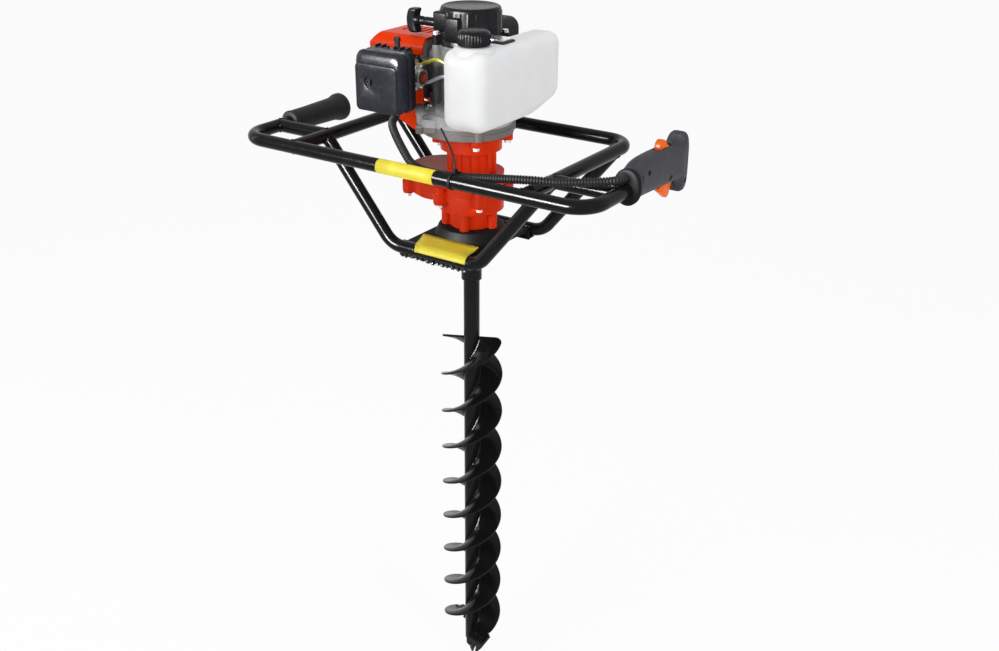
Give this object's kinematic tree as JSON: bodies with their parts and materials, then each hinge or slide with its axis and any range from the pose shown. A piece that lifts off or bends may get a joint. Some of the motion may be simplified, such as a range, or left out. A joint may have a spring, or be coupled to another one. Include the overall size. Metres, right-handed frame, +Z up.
{
  "type": "earth auger",
  "caption": "Petrol earth auger: two-stroke engine on a tube frame with two handles drives a long spiral drill through a reduction gearbox",
  "frame": {"origin": "the tip of the drill's pilot point", "axes": "+X to the throttle handle along the front rail, +Y from the front rail to the back rail, +Z up along the drill axis"},
  "size_m": [0.641, 0.3264, 1.159],
  "materials": {
    "frame_black": "satin black powder coat",
    "drill_black": "gloss black enamel",
    "red_cast": "semi-gloss red-orange paint on a casting",
    "red_plastic": "moulded red-orange plastic",
    "grey_cast": "blasted die-cast",
    "black_plastic": "satin moulded plastic",
    "handle_grey": "fine-grained dark grey plastic",
    "orange_plastic": "moulded orange plastic",
    "grip_rubber": "soft black rubber",
    "loom_plastic": "corrugated black conduit",
    "tank_white": "milky blow-moulded plastic",
    "hose_yellow": "clear yellowish hose",
    "primer_red": "soft translucent rubber",
    "foam": "open foam",
    "rope": "braided cord",
    "plug_white": "glazed ceramic and steel",
    "zinc": "bright zinc",
    "black_steel": "blackened steel",
    "steel": "machined steel",
    "flywheel_alloy": "cast alloy",
    "muffler_steel": "heat-dulled sheet steel"
  },
  "bodies": {
    "frame": {"handle_bar": "frame_black", "rear_loop": "frame_black", "front_cradle": "frame_black", "rear_cradle": "frame_black", "brace_tubes": "frame_black", "base_plate": "frame_black", "left_grip": "grip_rubber", "handle_shell_inner": "handle_grey", "handle_shell_outer": "handle_grey", "handle_pins": "zinc", "cable_loom": "loom_plastic", "cable_tie": "loom_plastic", "gearbox_lower_case": "red_cast", "gearbox_upper_case": "red_cast", "gearbox_bolts": "zinc", "gear_bearings": "steel", "fan_housing": "grey_cast", "crankcase": "grey_cast", "cylinder_barrel": "grey_cast", "spark_plug": "plug_white", "plug_boot": "grip_rubber", "cylinder_shroud": "red_plastic", "intake_block": "black_plastic", "carburettor": "grey_cast", "filter_base": "black_plastic", "filter_element": "foam", "filter_cover": "black_plastic", "starter_housing": "black_plastic", "fuel_tank": "tank_white", "tank_bracket": "zinc", "tank_pad": "grip_rubber", "fuel_lines": "hose_yellow", "muffler": "muffler_steel", "muffler_guard": "black_steel", "engine_screws": "zinc"},
    "auger": {"auger_tube": "drill_black", "auger_flights": "drill_black", "cutting_blades": "drill_black", "blade_bolts": "black_steel", "pilot_point": "drill_black", "coupling_pin": "zinc", "output_shaft": "steel", "output_gear": "steel"},
    "countershaft": {"countershaft": "steel", "countershaft_gear": "steel"},
    "clutch": {"clutch_drum": "steel", "drive_pinion": "steel"},
    "crank": {"crankshaft": "steel", "flywheel": "flywheel_alloy", "clutch_shoes": "steel"},
    "trigger": {"throttle_trigger": "orange_plastic"},
    "lock": {"lock_lever": "orange_plastic"},
    "primer": {"primer_bulb": "primer_red"},
    "choke": {"choke_lever": "black_plastic"},
    "throttle_lever": {"throttle_arm": "zinc"},
    "starter_pull": {"starter_handle": "black_plastic", "starter_rope": "rope"},
    "starter_reel": {"starter_pulley": "black_plastic"},
    "cap_lift": {"cap_gasket": "grip_rubber"},
    "cap": {"tank_cap": "black_plastic"}
  },
  "joints": [
    {"name": "drum_spin", "type": "hinge", "parent": "frame", "child": "clutch", "pos_m": [0, 0, 0.96], "axis": [0, 0, 1], "continuous": true},
    {"name": "countershaft_spin", "type": "hinge", "parent": "frame", "child": "countershaft", "pos_m": [-0.05, 0, 0.885], "axis": [0, 0, 1], "continuous": true},
    {"name": "auger_spin", "type": "hinge", "parent": "frame", "child": "auger", "pos_m": [0, 0, 0.85], "axis": [0, 0, 1], "continuous": true},
    {"name": "crank_spin", "type": "hinge", "parent": "frame", "child": "crank", "pos_m": [0, 0, 1], "axis": [0, 0, 1], "continuous": true},
    {"name": "trigger_squeeze", "type": "hinge", "parent": "frame", "child": "trigger", "pos_m": [0.297, 0.058, 0.9515], "axis": [-1, 0, 0], "range_deg": [0, 16], "stiffness_Nm_per_rad": 0.6, "springref_deg": -17.19},
    {"name": "lock_press", "type": "hinge", "parent": "frame", "child": "lock", "pos_m": [0.297, 0.052, 0.9835], "axis": [1, 0, 0], "range_deg": [0, 12], "stiffness_Nm_per_rad": 0.6, "springref_deg": -17.19},
    {"name": "primer_press", "type": "slide", "parent": "frame", "child": "primer", "axis": [-1, 0, 0], "range_m": [0, 0.0035], "stiffness_N_per_m": 600, "springref_m": -0.001},
    {"name": "choke_swing", "type": "hinge", "parent": "frame", "child": "choke", "pos_m": [-0.062, -0.096, 1.094], "axis": [0, -1, 0], "range_deg": [0, 40]},
    {"name": "throttle_turn", "type": "hinge", "parent": "frame", "child": "throttle_lever", "pos_m": [-0.068, -0.075, 1.0905], "axis": [0, 0, 1], "range_deg": [0, 48]},
    {"name": "starter_draw", "type": "slide", "parent": "frame", "child": "starter_pull", "axis": [-1, 0, 0], "range_m": [0, 0.7], "stiffness_N_per_m": 20, "springref_m": -0.2, "deforming": ["starter_rope"]},
    {"name": "reel_turn", "type": "hinge", "parent": "frame", "child": "starter_reel", "pos_m": [0, 0, 1.135], "axis": [0, 0, -1], "range_deg": [0, 1260]},
    {"name": "cap_rise", "type": "slide", "parent": "frame", "child": "cap_lift", "axis": [0, 0, 1], "range_m": [0, 0.012]},
    {"name": "cap_turn", "type": "hinge", "parent": "cap_lift", "child": "cap", "pos_m": [0.0693, -0.093, 1.135], "axis": [0, 0, 1], "range_deg": [0, 720]}
  ],
  "couplings": [
    {"joint": "countershaft_spin", "follows": "drum_spin", "ratio": -0.19403},
    {"joint": "auger_spin", "follows": "drum_spin", "ratio": 0.037648},
    {"joint": "throttle_turn", "follows": "trigger_squeeze", "ratio": 3},
    {"joint": "reel_turn", "follows": "starter_draw", "rad_per_m": 31.25},
    {"joint": "cap_turn", "follows": "cap_rise", "rad_per_m": 1047.2}
  ]
}
